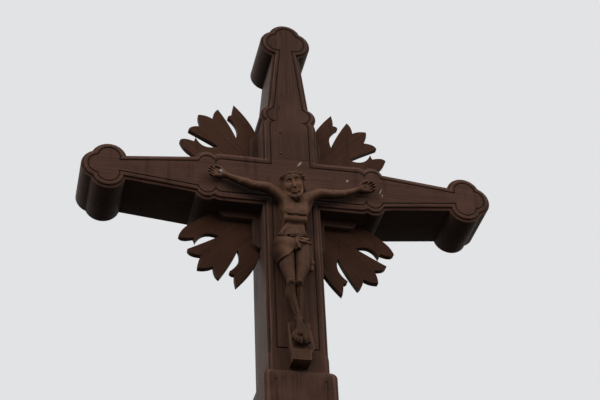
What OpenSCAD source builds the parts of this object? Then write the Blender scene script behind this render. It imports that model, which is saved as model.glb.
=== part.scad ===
// Wooden wayside cross with a carved corpus, standing in the ground.
// Millimetres, Z up, origin at the middle of the post's foot, front towards -Y.

/* [Timbers] */
// Height of the crossing's centre above the ground
crossing_h = 4600; // [3600:10:5600]
// Width of the post and of the crossbeam
timber_w = 200; // [180:1:230]
// Depth of the timbers from front to back
timber_d = 192; // [150:1:240]
// From the crossing's centre to the middle of the top trefoil
top_reach = 645; // [560:1:760]
// From the crossing's centre to the middle of each side trefoil
side_reach = 636; // [560:1:760]

/* [Arm outline] */
// Radius of a trefoil's lobes
lobe_r = 62; // [58:1:80]
// How far a lobe's centre lies from the trefoil's middle
lobe_off = 32; // [30:1:44]
// From the crossing's centre to the bead that ends the straight part
bead_at = 297; // [285:1:330]
// Radius of the bead on the outline
bead_r = 43; // [36:1:60]
// How far the bead stands proud of the straight part
bead_proud = 2; // [0:0.5:8]
// Radius of the rounding before the bead
shoulder_r = 54; // [44:1:60]
// From the centre of that rounding to the bead's centre
shoulder_gap = 52; // [44:1:60]
// Width of the tapered part at the bead
taper_near_w = 161; // [150:1:180]
// Width of the tapered part at the middle of the trefoil
taper_far_w = 86; // [76:1:110]

/* [Edge moulding and groove] */
// Width of the rebate along the front edges
rebate_w = 10; // [6:0.5:14]
// Depth of the rebate
rebate_d = 9; // [4:0.5:16]
// From the timber's edge to the middle of the carved groove
groove_in = 30; // [26:1:36]
// How much nearer the edge the groove runs beyond the straight part
groove_ease = 6; // [0:1:10]
// Radius of the bead that the groove goes round, measured like the one on the outline
groove_bead_r = 55; // [48:1:62]
// Width of the groove
groove_w = 4.5; // [3:0.5:7]
// Depth of the groove
groove_d = 4; // [2:0.5:8]
// How far below the crossing the groove closes
groove_low = 667; // [560:1:700]
// How far below the crossing the rebate stops
rebate_low = 692; // [600:1:730]

/* [Thick lower post] */
// How far below the crossing the thick part of the post begins
shoulder_low = 750; // [740:1:900]
// How much thicker the lower post is on each side
step_out = 20; // [10:1:30]
// Height of the bevel on top of the thick part
bevel_h = 27; // [15:1:40]
// Width of the two stopped flutes in its front
flute_w = 8; // [5:0.5:14]
// Depth of the flutes
flute_d = 5; // [3:0.5:8]
// From the post's middle to each flute
flute_x = 82; // [60:1:95]
// From the bevel to the flutes' top
flute_top = 12; // [8:1:60]
// Height of the flutes' lower end above the ground
flute_foot = 620; // [300:10:1200]

/* [Ray fans] */
// How far the longest ray reaches out from the timbers
fan_reach = 293; // [240:1:320]
// Thickness of the fan boards
fan_t = 22; // [16:1:30]
// From the front of the timbers to the front of the fans
fan_back = 90; // [80:1:110]

/* [Cleats] */
// Width of the cleats across their face
cleat_w = 27; // [18:1:34]
// Depth of the cleats
cleat_d = 24; // [12:1:32]
// Distance from the inner corner to the cleats' outer ends
cleat_l = 143; // [110:1:145]
// Size of the chamfer at the cleats' ends
cleat_cut = 18; // [8:1:24]

/* [Corpus] */
// Height of the carved figure from the crown to the toes
figure_h = 690; // [620:5:700]
// Width of the footrest
rest_w = 77; // [70:1:100]
// Width of the block under the footrest
block_w = 61; // [50:1:68]
// How far the footrest stands out from the post
rest_out = 60; // [50:1:70]
// Thickness of the crown's twisted stems
stem_d = 9; // [6:0.5:12]
// Diameter of the nails' heads
nail_head = 9; // [6:0.5:12]

/* [Hidden] */
half_w = timber_w / 2;
half_d = timber_d / 2;
shoulder_at = bead_at - shoulder_gap;
cut = 1;
wood_dark = [0.24, 0.16, 0.12];
wood_fan = [0.30, 0.19, 0.14];
wood_figure = [0.40, 0.28, 0.21];
iron = [0.20, 0.19, 0.19];

// Frame of the cross's face: x to the right, y up from the crossing, z out of the front
module on_cross() translate([0, 0, crossing_h]) rotate([90, 0, 0]) children();

// Plan of one arm from the crossing's centre to its trefoil, set in from its edge by t along the
// straight part and by u beyond it
module arm_plan(reach, t, u, bead) {
    angle = atan((taper_near_w - taper_far_w) / 2 / (reach - bead_at));
    near = taper_near_w / 2 - u / cos(angle);
    far = taper_far_w / 2 - u / cos(angle);
    rounding = shoulder_r - t;
    core = half_w - shoulder_r;
    translate([t - half_w, 0]) square([timber_w - 2 * t, shoulder_at]);
    translate([-core, shoulder_at]) square([2 * core, bead_at - shoulder_at]);
    for (side = [0, 1]) mirror([side, 0]) {
        translate([core, shoulder_at]) intersection() {
            circle(rounding, $fn = 96);
            square(rounding + cut);
        }
        translate([half_w + bead_proud - bead, bead_at]) circle(bead - u, $fn = 96);
        translate([lobe_off, reach]) circle(lobe_r - u, $fn = 96);
    }
    translate([0, reach + lobe_off]) circle(lobe_r - u, $fn = 96);
    polygon([[-near, bead_at], [near, bead_at], [far, reach], [-far, reach]]);
}

module post_plan(t) {
    arm_plan(top_reach, t, t, bead_r);
    translate([t - half_w, -rebate_low]) square([timber_w - 2 * t, rebate_low + cut]);
}

module beam_plan(t) {
    for (turn = [-90, 90]) rotate([0, 0, turn]) arm_plan(side_reach, t, t, bead_r);
    translate([t - half_w, -half_w]) square([timber_w - 2 * t, timber_w]);
}

// Plan that the carved groove follows, closed above the thick part of the post
module groove_plan(t) {
    low = groove_low + groove_in - t;
    arm_plan(top_reach, t, t - groove_ease, groove_bead_r);
    for (turn = [-90, 90]) rotate([0, 0, turn]) arm_plan(side_reach, t, t - groove_ease, groove_bead_r);
    translate([t - half_w, -low]) square([timber_w - 2 * t, low + cut]);
}

// Timber cut to a plan: the first child up to the rebate, the second from there to the front
module moulded() {
    translate([0, 0, -half_d]) linear_extrude(timber_d - rebate_d) children(0);
    translate([0, 0, half_d - rebate_d - cut]) linear_extrude(rebate_d + cut) children(1);
}

// The carved groove that follows the outline of the whole front
module face_groove()
    translate([0, 0, half_d - groove_d]) linear_extrude(groove_d + cut) difference() {
        groove_plan(groove_in - groove_w / 2);
        groove_plan(groove_in + groove_w / 2);
    }

// Thick part of the post with a bevel all round its top
module thick_post() {
    wide = timber_w + 2 * step_out;
    deep = timber_d + 2 * step_out;
    top = crossing_h - shoulder_low;
    translate([-wide / 2, -deep / 2, 0]) cube([wide, deep, top - bevel_h]);
    hull() {
        translate([-wide / 2, -deep / 2, top - bevel_h - cut]) cube([wide, deep, cut]);
        translate([-half_w, -half_d, top - cut]) cube([timber_w, timber_d, cut]);
    }
}

// Stopped flute with round ends, cut into the front of the thick post
module flute(x) {
    top = crossing_h - shoulder_low - bevel_h - flute_top;
    translate([x, -half_d - step_out + flute_d, 0]) rotate([90, 0, 0]) linear_extrude(flute_d + cut) {
        translate([-flute_w / 2, flute_foot]) square([flute_w, top - flute_foot]);
        for (z = [flute_foot, top]) translate([0, z]) circle(d = flute_w, $fn = 32);
    }
}

module upright_post() color(wood_dark) difference() {
    union() {
        on_cross() {
            moulded() {
                post_plan(0);
                post_plan(rebate_w);
            }
            translate([-half_w, -shoulder_low - cut, -half_d])
                cube([timber_w, shoulder_low - rebate_low + cut, timber_d]);
        }
        thick_post();
    }
    on_cross() {
        translate([-half_w - cut, -half_w, 0]) cube([timber_w + 2 * cut, timber_w, half_d + cut]);
        face_groove();
    }
    for (side = [-1, 1]) flute(side * flute_x);
}

module crossbeam() color(wood_dark) on_cross() difference() {
    moulded() {
        beam_plan(0);
        beam_plan(rebate_w);
    }
    translate([-half_w, -half_w - cut, -half_d - cut]) cube([timber_w, timber_w + 2 * cut, half_d + cut]);
    face_groove();
}

// Curve from p to q that leans towards c, without its last point
function bend(p, c, q, n = 5) = [for (i = [0:n - 1]) let (s = i / n)
    (1 - s) * (1 - s) * p + 2 * s * (1 - s) * c + s * s * q];

// Outline of a fan from its inner corner, drawn for a reach of 293: the ray beside the post with its
// two tips, a slot, the broad middle ray, the other slot and the ray beside the beam
drawn_reach = 293;
fan_outline = concat(
    [[0, 0]],
    bend([0, 158], [18, 222], [84, 293], 6),
    bend([84, 293], [91, 265], [89, 245], 3),
    bend([89, 245], [106, 243], [106, 233], 3),
    bend([106, 233], [58, 195], [77, 143], 7),
    bend([77, 143], [98, 198], [142, 265], 5),
    bend([142, 265], [160, 252], [162, 219], 4),
    bend([162, 219], [186, 234], [215, 231], 4),
    bend([215, 231], [217, 208], [203, 179], 4),
    bend([203, 179], [246, 178], [250, 157], 5),
    bend([250, 157], [200, 130], [140, 94], 4),
    bend([140, 94], [202, 70], [224, 127], 6),
    bend([224, 127], [228, 110], [231, 108], 2),
    bend([231, 108], [272, 122], [281, 105], 4),
    bend([281, 105], [270, 72], [240, 52], 4),
    bend([240, 52], [205, 20], [158, 0], 4),
    [[158, 0]]
);

// Ray fan in the quadrant that the signs sx and sy name
module fan(sx, sy) color(wood_fan) on_cross()
    mirror([sx < 0 ? 1 : 0, 0, 0]) mirror([0, sy < 0 ? 1 : 0, 0])
        translate([half_w, half_w, half_d - fan_back - fan_t]) linear_extrude(fan_t)
            polygon((fan_reach / drawn_reach) * fan_outline);

// Cleat from start to cleat_l along the post, its outer end chamfered
module cleat(start) translate([0, 0, half_d - fan_back]) linear_extrude(cleat_d) polygon([
    [0, start], [cleat_w, start], [cleat_w, cleat_l - cleat_cut], [cleat_w - cleat_cut, cleat_l], [0, cleat_l]
]);

module post_cleat(sx, sy) color(wood_fan) on_cross()
    mirror([sx < 0 ? 1 : 0, 0, 0]) mirror([0, sy < 0 ? 1 : 0, 0]) translate([half_w, half_w, 0]) cleat(0);

module beam_cleat(sx, sy) color(wood_fan) on_cross()
    mirror([sx < 0 ? 1 : 0, 0, 0]) mirror([0, sy < 0 ? 1 : 0, 0]) translate([half_w, half_w, 0])
        mirror([1, -1, 0]) cleat(cleat_w);

// Rounded limb between two points
module limb(a, ra, b, rb) hull() {
    translate(a) sphere(ra, $fn = 16);
    translate(b) sphere(rb, $fn = 16);
}

// Limb through several points, each given as right, up, out and radius
module chain(points)
    for (i = [1:len(points) - 1]) let (p = points[i - 1], q = points[i])
        limb([p.x, p.y, p.z], p[3], [q.x, q.y, q.z], q[3]);

// Egg with three half widths
module egg(p, r) translate(p) scale(r) sphere(1, $fn = 16);

// Swelling between two eggs
module swell(p, r, q, s) hull() {
    egg(p, r);
    egg(q, s);
}

// The figure is drawn 690 high, in the face frame with z measured from the front of the timbers
drawn_h = 690;
module on_face() on_cross() translate([0, 0, half_d]) scale(figure_h / drawn_h) children();

// Everything behind the timbers' front is cut off, so that the back lies flat on the wood
module flat_back() intersection() {
    on_face() children();
    translate([-timber_w * 2, -half_d - timber_w * 2, crossing_h - drawn_h * 2])
        cube([timber_w * 4, timber_w * 2, drawn_h * 3]);
}

// Where the arms leave the trunk, and the planes and heights between which they are sawn off
left_shoulder = [[-41, -91, 29, 24], [-60, -70, 31, 22], [-101, -55, 30, 18], [-143, -51, 28, 15]];
right_shoulder = [[39, -93, 29, 24], [56, -72, 31, 22], [97, -59, 30, 18], [138, -59, 28, 15]];
left_cut = -62;
right_cut = 58;
arm_low = -150;
arm_high = -20;
// The head, and the crown that sits on it
head_at = [-13, -51, 61];
head_turn = [22, -12, 15];
crown_at = [-13.5, -41, 71];
crown_turn = [2, 0, 6];
crown_r = 40;
crown_steps = 20;

module torso() {
    swell([-15, -139, 25], [28, 45, 34], [14, -141, 26], [29, 44, 34]);
    swell([-20, -183, 23], [24, 23, 32], [16, -185, 24], [24, 22, 32]);
    swell([-18, -221, 19], [24, 36, 27], [10, -223, 20], [24, 37, 26]);
    swell([-34, -282, 31], [40, 36, 26], [2, -280, 31], [34, 36, 26]);
    swell([-40, -84, 28], [18, 18, 20], [-18, -102, 34], [22, 22, 22]);
    swell([47, -88, 28], [18, 18, 20], [18, -103, 34], [22, 22, 22]);
    limb([42, -134, 22], 13, [49, -104, 24], 14);
}

module head() {
    limb([-4, -112, 38], 20, [-9, -86, 46], 20);
    translate(head_at) rotate(head_turn) {
        egg([0, 2, -7], [37, 29, 40]);
        egg([0, -7, 7], [33, 37, 34]);
        egg([0, 2, -13], [42, 30, 40]);
        swell([-38, 0, -6], [10, 24, 16], [-37, -34, -22], [8, 12, 12]);
        swell([38, 0, -6], [10, 24, 16], [37, -34, -22], [8, 12, 12]);
        swell([0, -30, 20], [24, 15, 17], [0, -50, 26], [10, 10, 9]);
        limb([0, 4, 36], 4, [0, -16, 43], 5);
    }
}

module legs() {
    chain([[-40, -300, 32, 32], [-40, -350, 41, 28], [-31, -446, 57, 17], [-28, -494, 45, 16], [-5, -586, 42, 11]]);
    chain([[16, -300, 32, 31], [18, -350, 39, 27], [1, -445, 52, 16], [2, -497, 36, 15], [0, -588, 32, 10]]);
    swell([-5, -598, 47], [12, 14, 12], [-6, -650, 62], [20, 13, 13]);
    swell([-16, -668, 68], [21, 11, 6], [9, -680, 71], [13, 10, 7]);
    swell([4, -606, 36], [13, 18, 13], [10, -655, 50], [13, 14, 12]);
}

module loincloth() {
    swell([-43, -300, 37], [40, 38, 38], [-54, -334, 34], [29, 32, 37]);
    swell([-22, -290, 46], [26, 24, 28], [-28, -326, 42], [24, 24, 31]);
    swell([18, -284, 36], [35, 22, 34], [14, -298, 40], [33, 16, 32]);
    chain([[-7, -288, 67, 8], [2, -322, 61, 8]]);
    chain([[46, -292, 33, 8], [53, -340, 20, 9], [53, -368, 19, 9]]);
    swell([-62, -264, 36], [8, 5, 24], [34, -256, 36], [8, 5, 26]);
    swell([-48, -266, 46], [8, 5, 20], [10, -262, 50], [8, 5, 20]);
    swell([-29, -274, 70], [9, 6, 6], [-13, -275, 72], [9, 8, 7]);
}

module corpus_body() color(wood_figure) flat_back() difference() {
    union() {
        torso();
        head();
        legs();
        loincloth();
        chain(left_shoulder);
        chain(right_shoulder);
    }
    translate([left_cut - timber_w, arm_low, -half_d]) cube([timber_w, arm_high - arm_low, timber_d]);
    translate([right_cut, arm_low, -half_d]) cube([timber_w, arm_high - arm_low, timber_d]);
}

// Hand with four fingers and a thumb, from the wrist outwards along +x
module hand(curl) {
    swell([0, 0, 0], [12, 12, 10], [26, 0, 0], [17, 21, 10]);
    for (i = [0:3]) {
        y = 15 - 10 * i;
        limb([36, y, 1], 5.5, [52, y * 1.1, 4 + curl * 5], 5.2);
        limb([52, y * 1.1, 4 + curl * 5], 5.2, [65 - curl * 6 - abs(y) * 0.2, y * 1.2, 8 + curl * 12], 4.6);
    }
    chain([[10, 12, 4, 7.5], [24, 22, 8, 6.5], [40, 23, 12, 5.2]]);
}

module corpus_left_arm() color(wood_figure) flat_back() {
    difference() {
        chain(concat(left_shoulder, [[-170, -42, 27, 15], [-236, -14, 20, 10]]));
        translate([left_cut, arm_low, -half_d]) cube([timber_w, arm_high - arm_low, timber_d]);
    }
    translate([-237, -14, 19]) rotate([0, 0, 170]) mirror([0, 1, 0]) hand(0.2);
}

module corpus_right_arm() color(wood_figure) flat_back() {
    difference() {
        chain(concat(right_shoulder, [[163, -53, 27, 15], [232, -22, 20, 10]]));
        translate([right_cut - timber_w, arm_low, -half_d]) cube([timber_w, arm_high - arm_low, timber_d]);
    }
    translate([233, -22, 19]) rotate([0, 0, 17]) hand(1);
}

// Point of a stem that winds round the crown's ring, a quarter turn at a time
function stem_point(i, phase) = let (
    a = i * 360 / crown_steps,
    w = 3 * a + phase,
    r = crown_r + stem_d * 0.45 * cos(w)
) [r * cos(a), stem_d * 0.55 * sin(w), r * sin(a)];

module crown_ring()
    for (phase = [0, 180], i = [0:crown_steps - 1]) hull() {
        translate(stem_point(i, phase)) sphere(d = stem_d, $fn = 6);
        translate(stem_point(i + 1, phase)) sphere(d = stem_d, $fn = 6);
    }

// Two stems twisted round the head
module crown_of_thorns() color(wood_figure) on_face() difference() {
    translate(crown_at) rotate(crown_turn) crown_ring();
    head();
}

// Sloping rest on a block: its side view and its front view are each drawn once and meet
rest_top = -576;
rest_lip = -692;
rest_foot = -712;
block_top = -704;
block_foot = -740;
rest_thin = 9;
rest_mid = 2.5;
block_mid = -2.5;
module footrest() color(wood_figure) on_face() {
    intersection() {
        translate([rest_mid, 0, 0]) rotate([0, -90, 0]) linear_extrude(rest_w + 2 * cut, center = true)
            polygon([
                [0, rest_top], [rest_thin, rest_top], [rest_out - 2, rest_lip],
                [rest_out - 2, rest_foot], [0, rest_foot]
            ]);
        linear_extrude(rest_out) polygon([
            [rest_mid - rest_w / 2 + cut, rest_top], [rest_mid + rest_w / 2 - 3, rest_top],
            [rest_mid + rest_w / 2, rest_lip], [block_mid + block_w / 2, rest_foot],
            [block_mid - block_w / 2, rest_foot], [rest_mid - rest_w / 2, rest_lip]
        ]);
    }
    translate([block_mid - block_w / 2, block_foot, 0]) cube([block_w, block_top - block_foot, rest_out]);
}

// Forged nail with a low round head, from the wood outwards
module nail(p, out) on_face() translate(p) {
    cylinder(h = out, d = nail_head / 2, $fn = 24);
    translate([0, 0, out]) cylinder(h = 3, d1 = nail_head, d2 = nail_head * 0.5, $fn = 32);
}

module left_hand_nail() color(iron) nail([-260, -10, 0], 28);
module right_hand_nail() color(iron) nail([258, -13, 0], 29);
module foot_nail() color(iron) nail([-3, -620, 0], 68);
module title_board_nails() color(iron) {
    nail([-33, 213, -20], 21);
    nail([-33, 120, -20], 21);
}

upright_post();
crossbeam();
fan(-1, 1);  // fan_upper_left
fan(1, 1);  // fan_upper_right
fan(-1, -1);  // fan_lower_left
fan(1, -1);  // fan_lower_right
post_cleat(-1, 1);  // cleat_upper_left_post
beam_cleat(-1, 1);  // cleat_upper_left_beam
post_cleat(1, 1);  // cleat_upper_right_post
beam_cleat(1, 1);  // cleat_upper_right_beam
post_cleat(-1, -1);  // cleat_lower_left_post
beam_cleat(-1, -1);  // cleat_lower_left_beam
post_cleat(1, -1);  // cleat_lower_right_post
beam_cleat(1, -1);  // cleat_lower_right_beam
corpus_body();
corpus_left_arm();
corpus_right_arm();
crown_of_thorns();
footrest();
left_hand_nail();
right_hand_nail();
foot_nail();
title_board_nails();
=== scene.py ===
# Tall wooden wayside cross: a post and crossbeam with trefoil ends, ray fans and a carved figure.
# Metres, Z up, the front towards -Y, the middle of the post's foot at the origin.
import math
import bmesh
import bpy
import numpy as np
import openvdb
from mathutils import Matrix, Vector


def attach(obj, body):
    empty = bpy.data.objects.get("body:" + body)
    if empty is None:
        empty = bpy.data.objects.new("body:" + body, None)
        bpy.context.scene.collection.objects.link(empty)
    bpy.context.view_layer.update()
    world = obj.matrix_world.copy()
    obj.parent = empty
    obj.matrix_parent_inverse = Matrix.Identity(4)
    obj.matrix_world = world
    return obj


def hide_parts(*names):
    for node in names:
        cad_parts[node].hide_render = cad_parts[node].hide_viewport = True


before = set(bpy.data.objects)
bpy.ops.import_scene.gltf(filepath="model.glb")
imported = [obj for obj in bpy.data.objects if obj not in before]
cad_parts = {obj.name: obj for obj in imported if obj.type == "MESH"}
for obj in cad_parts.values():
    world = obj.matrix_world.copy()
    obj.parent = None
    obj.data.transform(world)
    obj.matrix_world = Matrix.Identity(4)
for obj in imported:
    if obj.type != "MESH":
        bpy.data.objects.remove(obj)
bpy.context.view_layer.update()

# Viewpoint
# The eye of somebody who stands on the ground a little left of the cross, four metres in
# front of it, and looks up at its arms. The head is tilted by under three degrees.
def in_scene(name, data):
    made = bpy.data.objects.new(name, data)
    bpy.context.scene.collection.objects.link(made)
    return made


eye = Vector((-0.9606, -4.0741, 1.6035))
gaze = Vector((0.19638, 0.79025, 0.58047)).normalized()
brow = Vector((-0.09451, -0.57399, 0.81339))
aside = gaze.cross(brow).normalized()
camera_data = bpy.data.cameras.new("viewpoint")
camera_data.sensor_width, camera_data.lens, camera_data.clip_end = 36, 87.17, 200
camera = in_scene("viewpoint", camera_data)
upright = Matrix((aside, aside.cross(gaze), -gaze)).transposed().to_4x4()
camera.matrix_world = Matrix.Translation(eye) @ upright
bpy.context.scene.camera = camera
bpy.context.scene.view_settings.view_transform = "Standard"


# Studio
# A plain pale floor, an even pale surround that is brighter above than below, and two large
# soft lamps in front. The surround that the eye and the gloss see is one flat pale tone.
def fill(tree, node, inputs):
    # Links sockets to a node's inputs, or sets plain values there
    for name, value in inputs.items():
        if isinstance(value, bpy.types.NodeSocket):
            tree.links.new(value, node.inputs[name])
        else:
            node.inputs[name].default_value = value


def put(tree, kind, inputs=(), **settings):
    # A new node. The kind of a shader node goes without its prefix.
    made = tree.nodes.new(kind if "Node" in kind else "ShaderNode" + kind)
    for name, value in settings.items():
        setattr(made, name, value)
    fill(tree, made, dict(inputs))
    return made


def calc(tree, operation, a, b=0.0, c=0.0):
    return put(tree, "Math", {0: a, 1: b, 2: c}, operation=operation).outputs[0]


def ramp(tree, value, low, high, out_low=0.0, out_high=1.0):
    # Smooth step between two values, falling where low is the larger one
    return put(tree, "MapRange", {"Value": value, "From Min": low, "From Max": high, "To Min": out_low,
                                  "To Max": out_high}, interpolation_type="SMOOTHSTEP").outputs[0]


def blend_colour(tree, factor, a, b):
    return put(tree, "Mix", {0: factor, 6: a, 7: b}, data_type="RGBA").outputs[2]


def new_material(name):
    made = bpy.data.materials.new(name)
    made.use_nodes = True
    return made, made.node_tree, made.node_tree.nodes["Principled BSDF"]


surround = bpy.data.worlds.new("surround")
bpy.context.scene.world = surround
surround.use_nodes = True
sky = surround.node_tree
sky.nodes.clear()
path = put(sky, "LightPath").outputs
height = put(sky, "SeparateXYZ", {0: put(sky, "TexCoord").outputs["Generated"]}).outputs["Z"]
seen = calc(sky, "MAXIMUM", path["Is Camera Ray"], path["Is Glossy Ray"])
seen = calc(sky, "MAXIMUM", seen, path["Is Transmission Ray"])
strength = ramp(sky, height, -0.25, 0.35, 0.05, 1.25)
lit = put(sky, "Background", {"Color": (0.97, 0.985, 1.0, 1), "Strength": strength})
bright = calc(sky, "MAXIMUM", ramp(sky, height, -0.2, 0.05, 0.05), path["Is Camera Ray"])
shown = put(sky, "Background", {"Color": (0.760, 0.767, 0.783, 1), "Strength": bright})
chosen = put(sky, "MixShader", {0: seen, 1: lit.outputs[0], 2: shown.outputs[0]})
put(sky, "OutputWorld", {0: chosen.outputs[0]})


def soft_lamp(name, at, towards, size, power):
    light = bpy.data.lights.new(name, "AREA")
    light.shape, light.size, light.size_y, light.energy = "RECTANGLE", size, size, power
    lamp = in_scene(name, light)
    lamp.location = at
    lamp.rotation_euler = (Vector(towards) - Vector(at)).to_track_quat("-Z", "Y").to_euler()
    lamp.visible_glossy = False


soft_lamp("lamp_front_left", (-3.4, -5.2, 7.4), (0, 0, 4.2), 3.2, 130)
soft_lamp("lamp_front_right", (3.8, -5.0, 6.2), (0, 0, 3.6), 3.0, 90)

floor_mesh = bpy.data.meshes.new("studio_floor")
floor_mesh.from_pydata([(-9, -9, 0), (9, -9, 0), (9, 9, 0), (-9, 9, 0)], [], [(0, 1, 2, 3)])
pale, tree, skin = new_material("pale floor")
look = put(tree, "LightPath").outputs["Is Camera Ray"]
tone = blend_colour(tree, look, (0.08, 0.08, 0.075, 1), (0.66, 0.66, 0.65, 1))
fill(tree, skin, {"Base Color": tone, "Roughness": 0.9})
floor_mesh.materials.append(pale)
studio_floor = in_scene("studio_floor", floor_mesh)


# Upright post
# One squared timber, stained dark brown, from the ground to the top trefoil. Its front has a
# stepped edge moulding and a carved groove, and below a rounded shoulder it is left thicker.
crossing = 4.600
half_w, half_d = 0.100, 0.096
lobe_r, lobe_off = 0.062, 0.032
bead_at, bead_r, bead_edge = 0.297, 0.043, 0.102
groove_bead_r, groove_ease = 0.055, 0.006
shoulder_r, shoulder_at = 0.054, 0.245
taper_near, taper_far = 0.0805, 0.043
top_reach, side_reach = 0.645, 0.636
# Below the crossing: where the moulding starts to run out and over what height, where the
# groove ends, and how much thicker the lower part is at the front and at each side
stop_at, stop_h, groove_foot, step_out = -0.706, 0.026, -0.697, 0.020
# Flutes of the thick part: distance from the middle, top from the crossing, foot from the
# ground, radius and depth
flute_x, flute_top, flute_foot, flute_r, flute_depth = 0.082, -0.793, 0.624, 0.0042, 0.0045
joint_gap = 0.0004
# Inset from the edge and depth behind the front, from the back of the timber to its panel,
# then how worn the wood is there and how dark, with dirt and painted shade in the moulding's
# recess and groove. The back is flush with that of the thick part.
SECTION = [
    (3.0, 212.0, 0, 0), (0.9, 211.1, 1, 0), (0.0, 209.0, 0, 0), (0.0, 96.0, 0, 0), (0.0, 13.0, 0, 0),
    (0.0, 11.4, .6, 0), (0.8, 9.8, 1, 0), (2.6, 9.0, .3, 0), (8.4, 9.0, 0, .6), (9.5, 8.4, 0, 1),
    (10.0, 7.0, 0, .7), (10.2, 4.6, .3, 0), (11.0, 2.0, .9, 0), (12.8, 0.5, 1, 0), (15.5, 0.0, 0, 0),
    (27.2, 0.0, 0, .2), (28.1, 0.7, 0, .8), (29.0, 3.3, 0, 1), (30.0, 4.2, 0, 1), (31.0, 3.3, 0, 1),
    (31.9, 0.7, 0, .8), (32.8, 0.0, 0, .1)]
# The same section where the moulding has run out and only an eased arris is left
PLAIN = [(0.0, 6.0), (0.0, 4.2), (0.2, 2.6), (0.7, 1.3), (1.4, 0.6), (2.2, 0.2), (3.0, 0.0), (5.0, 0.0),
         (8.0, 0.0), (12.0, 0.0), (15.5, 0.0)]
MID, FIRST_MOULDED, BORDER, GROOVE = 3, 4, 14, 15


def arc(centre, radius, start, end, steps):
    turns = [start + (end - start) * i / steps for i in range(steps + 1)]
    return [(centre[0] + radius * math.cos(a), centre[1] + radius * math.sin(a)) for a in turns]


def along_line(start, step, centre, radius, far):
    # Where a line meets a circle, at its far or near crossing
    ox, oy = start[0] - centre[0], start[1] - centre[1]
    a, b, c = step[0] ** 2 + step[1] ** 2, ox * step[0] + oy * step[1], ox * ox + oy * oy - radius ** 2
    s = (-b + (1 if far else -1) * math.sqrt(max(b * b - a * c, 0))) / a
    return start[0] + step[0] * s, start[1] + step[1] * s


def bearing(centre, point):
    return math.atan2(point[1] - centre[1], point[0] - centre[0])


def arm_edge(t, reach):
    # Right half of an arm's outline, set in by t, from its straight part to the trefoil's top.
    # Beyond the straight part the carved groove keeps nearer the edge, round a larger bead.
    grooved = t > 0.02
    s, ball = (t - groove_ease, groove_bead_r) if grooved else (t, bead_r)
    core = half_w - shoulder_r
    low, bead = (core, shoulder_at), (bead_edge - ball, bead_at)
    side, top = (lobe_off, reach), (0, reach + lobe_off)
    r_low, r_bead, r_lobe = shoulder_r - t, ball - s, lobe_r - s
    gap = math.dist(low, bead)
    if r_low + r_bead > gap:
        a = (r_low ** 2 - r_bead ** 2 + gap ** 2) / (2 * gap)
        h = math.sqrt(max(r_low ** 2 - a * a, 0))
        u = ((bead[0] - low[0]) / gap, (bead[1] - low[1]) / gap)
        notch = [(low[0] + a * u[0] + h * u[1], low[1] + a * u[1] - h * u[0])] * 2
    else:
        notch = [(core, shoulder_at + r_low),
                 (core, bead_at - math.sqrt(r_bead ** 2 - (core - bead[0]) ** 2))]
    slant = (taper_far - taper_near, reach - bead_at)
    shift = s * math.hypot(*slant) / slant[1]
    start = (taper_near - shift, bead_at)
    leave = along_line(start, slant, bead, r_bead, True)
    enter = along_line(start, slant, side, r_lobe, False)
    half = lobe_off / 2
    h = math.sqrt(r_lobe ** 2 - 2 * half ** 2) / math.sqrt(2)
    cusp = (half + h, reach + half + h)
    return (arc(low, r_low, 0, bearing(low, notch[0]), 10)
            + arc(bead, r_bead, bearing(bead, notch[1]), bearing(bead, leave), 18)
            + [(leave[0] + (enter[0] - leave[0]) * i / 8, leave[1] + (enter[1] - leave[1]) * i / 8)
               for i in range(1, 8)]
            + arc(side, r_lobe, bearing(side, enter), bearing(side, cusp), 26)
            + arc(top, r_lobe, bearing(top, cusp), math.pi / 2, 16))


def underside(ring, sides):
    # How far each point of an outline faces the ground, where the wood is painted darker as shade
    found = []
    for i, p in enumerate(ring):
        a, b = ring[i - 1], ring[(i + 1) % len(ring)]
        length = math.hypot(b[0] - a[0], b[1] - a[1]) or 1
        found.append(max(0.0, (a[0] - b[0]) / length * sides))
    return found


def store(mesh, values):
    # Keeps a number for each point under a name that the materials read
    for key, numbers in values.items():
        layer = mesh.attributes.new(key, "FLOAT", "POINT")
        layer.data.foreach_set("value", np.asarray(numbers, np.float32))


def finish_mesh(name, points, faces, wear, smooth=50):
    # Piece from points in metres, its edges sharp where they are steeper than smooth degrees
    mesh = bpy.data.meshes.new(name)
    mesh.from_pydata([tuple(p) for p in points], [], faces)
    store(mesh, wear)
    work = bmesh.new()
    work.from_mesh(mesh)
    bmesh.ops.remove_doubles(work, verts=work.verts, dist=2e-6)
    bmesh.ops.dissolve_degenerate(work, edges=work.edges, dist=2e-6)
    bmesh.ops.recalc_face_normals(work, faces=work.faces)
    for face in work.faces:
        face.smooth = True
    for edge in work.edges:
        flat = any(len(face.verts) > 4 for face in edge.link_faces)
        shallow = len(edge.link_faces) == 2 and edge.calc_face_angle(0) < math.radians(smooth)
        edge.smooth = shallow and not flat
    work.to_mesh(mesh)
    work.free()
    return in_scene(name, mesh)


def from_face(x, y, z):
    # Face frame in metres (right, up from the crossing, out from the timber's middle) to the scene
    return x, -z, crossing + y


LOW_ROWS = [-0.750, stop_at, -0.7035, -0.700, -0.696, -0.691, -0.686, -0.682, -0.680, -0.66, -0.45, -0.25,
            -half_w]


def section(ring):
    # Inset and depth of one line of the section, in metres
    return SECTION[ring][0] / 1000, SECTION[ring][1] / 1000


def low_row(ring, y):
    # Right-hand point of the post below the crossing, where the moulding runs out above the shoulder
    t, d = section(ring)
    if ring >= GROOVE:
        return half_w - t, max(y, groove_foot + t), half_d - d
    if ring >= FIRST_MOULDED:
        s = min(max((y - stop_at) / stop_h, 0), 1)
        s = s * s * (3 - 2 * s)
        p = PLAIN[ring - FIRST_MOULDED]
        t, d = t * s + p[0] / 1000 * (1 - s), d * s + p[1] / 1000 * (1 - s)
    return half_w - t, y, half_d - d


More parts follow.
